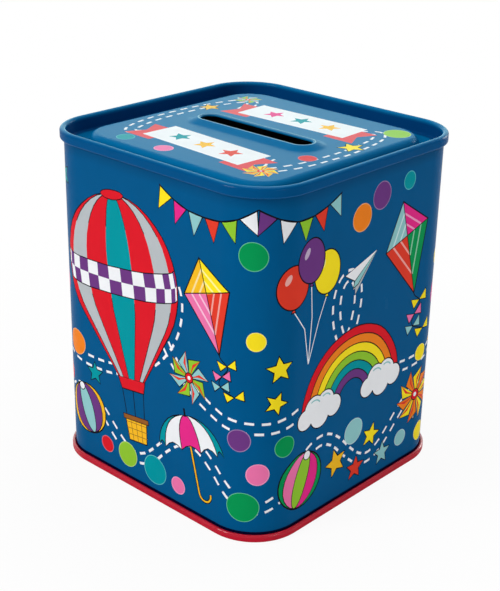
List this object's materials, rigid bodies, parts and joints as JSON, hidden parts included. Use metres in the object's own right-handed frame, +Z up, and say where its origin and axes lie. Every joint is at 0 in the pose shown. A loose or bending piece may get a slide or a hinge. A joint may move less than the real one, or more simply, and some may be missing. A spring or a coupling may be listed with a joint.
{
  "type": "money box",
  "caption": "Square printed tin money box with rounded corners, rolled rims, a raised coin slot in the top and a push-in stopper in the base.",
  "frame": {"origin": "middle of the underside, on the plane that the base seam rests on", "axes": "+Z up; -Y is the side with the big picture; +X is the side to its right; the coin slot runs along X; the folded side seam is on the +Y side"},
  "size_m": [0.085, 0.085, 0.1],
  "materials": {
    "printed_sleeve": "blue litho print under gloss varnish, bare tin inside",
    "blue_top": "blue litho print under gloss varnish, bare tin inside",
    "red_base": "red gloss lacquer, bare tin inside",
    "stopper_plastic": "soft satin black plastic"
  },
  "bodies": {
    "box": {"body_sleeve": "printed_sleeve", "top_end": "blue_top", "base_end": "red_base"},
    "stopper": {"base_stopper": "stopper_plastic"}
  },
  "joints": [
    {"name": "stopper_pull", "type": "slide", "parent": "box", "child": "stopper", "axis": [0, 0, -1], "range_m": [0, 0.02]}
  ]
}
